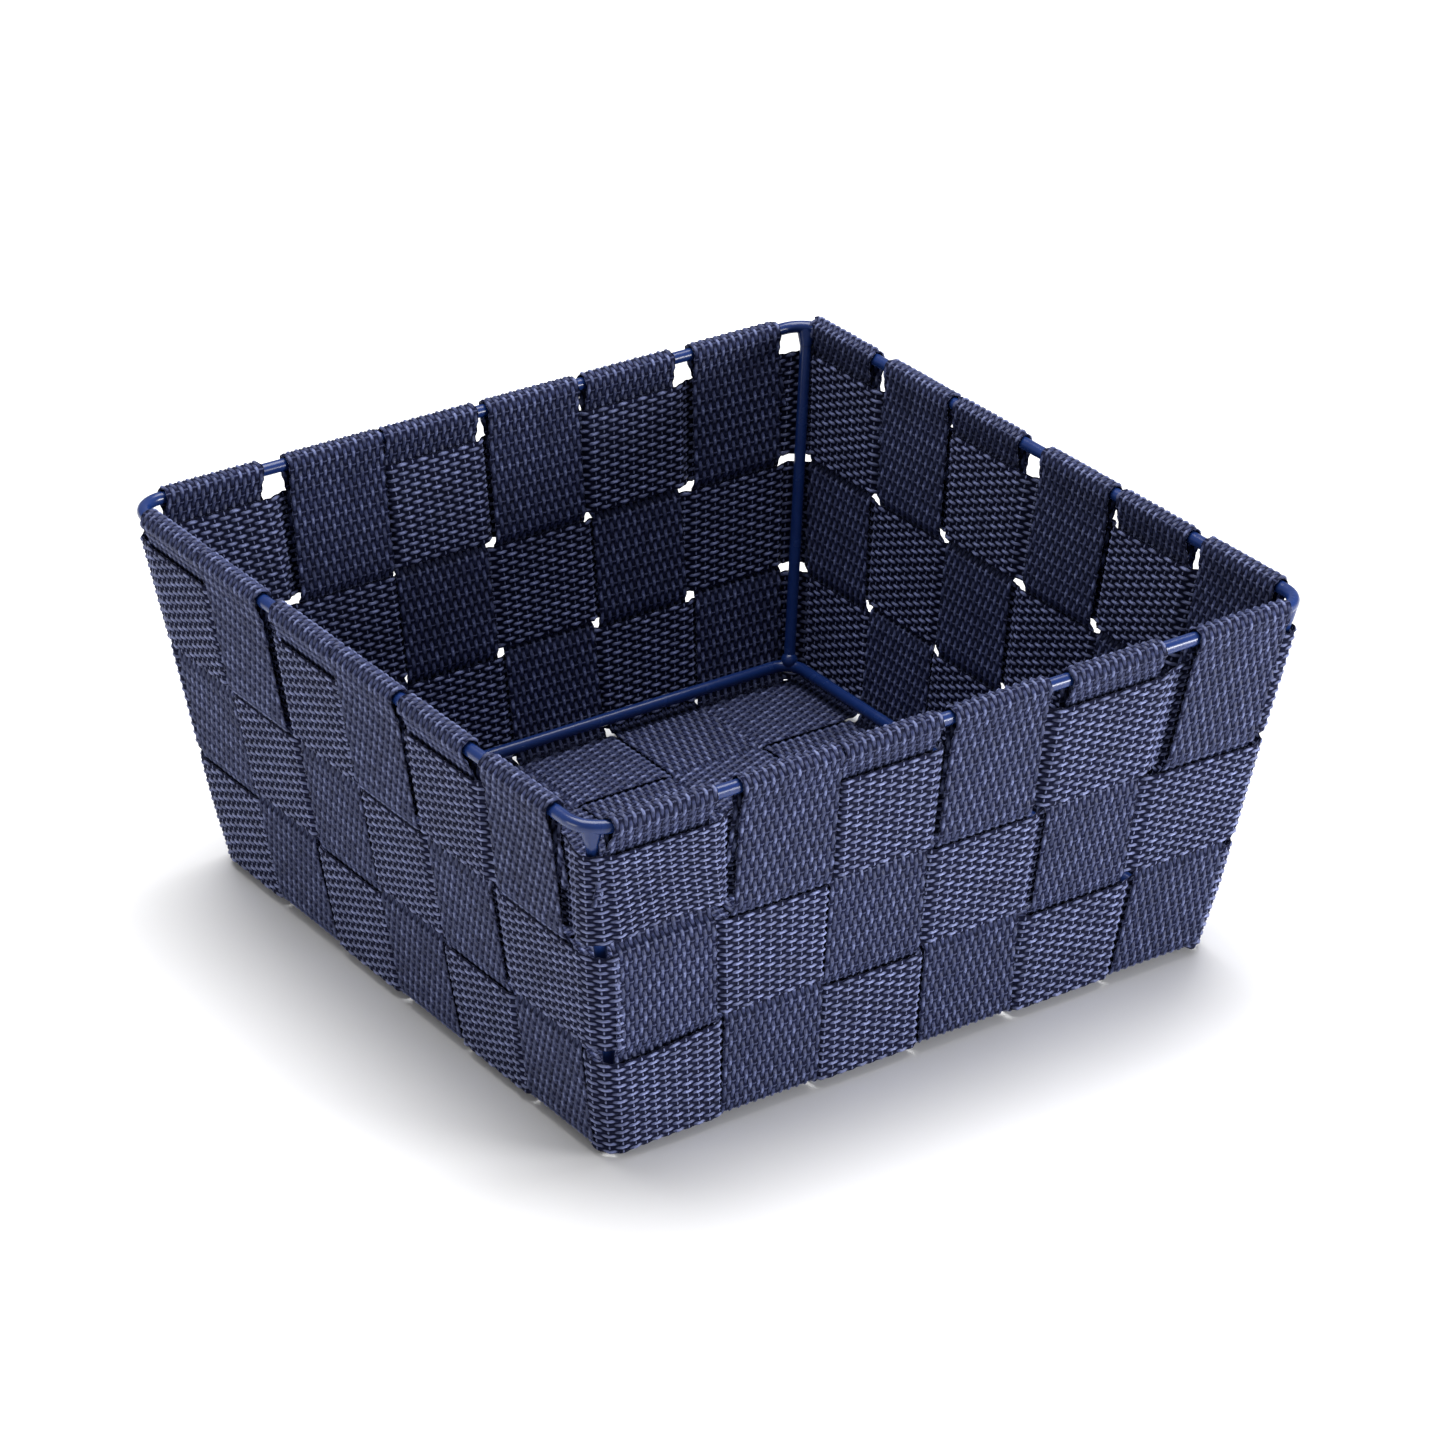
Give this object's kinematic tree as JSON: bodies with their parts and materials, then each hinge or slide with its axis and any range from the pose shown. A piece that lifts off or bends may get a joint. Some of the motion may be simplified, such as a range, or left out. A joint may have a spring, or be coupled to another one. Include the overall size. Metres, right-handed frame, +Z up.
{
  "type": "woven storage bin",
  "caption": "Open square storage bin of flat webbing straps woven over a welded wire frame, with outward sloping walls.",
  "frame": {"origin": "centre of the underside of the woven floor, on the surface that the bin stands on", "axes": "+Z up through the open top; X and Y square to the four walls"},
  "size_m": [0.1926, 0.1926, 0.091],
  "materials": {
    "wire_paint": "gloss",
    "strap_webbing": "woven webbing",
    "band_webbing": "woven webbing"
  },
  "bodies": {
    "root": {"rim_ring": "wire_paint", "base_ring": "wire_paint", "corner_upright_1": "wire_paint", "corner_upright_2": "wire_paint", "corner_upright_3": "wire_paint", "corner_upright_4": "wire_paint", "rim_weld_beads": "wire_paint", "base_weld_beads": "wire_paint", "strap_y_1": "strap_webbing", "strap_y_2": "strap_webbing", "strap_y_3": "strap_webbing", "strap_y_4": "strap_webbing", "strap_y_5": "strap_webbing", "strap_y_6": "strap_webbing", "strap_x_1": "strap_webbing", "strap_x_2": "strap_webbing", "strap_x_3": "strap_webbing", "strap_x_4": "strap_webbing", "strap_x_5": "strap_webbing", "strap_x_6": "strap_webbing", "band_top": "band_webbing", "band_middle": "band_webbing", "band_bottom": "band_webbing"}
  },
  "joints": []
}
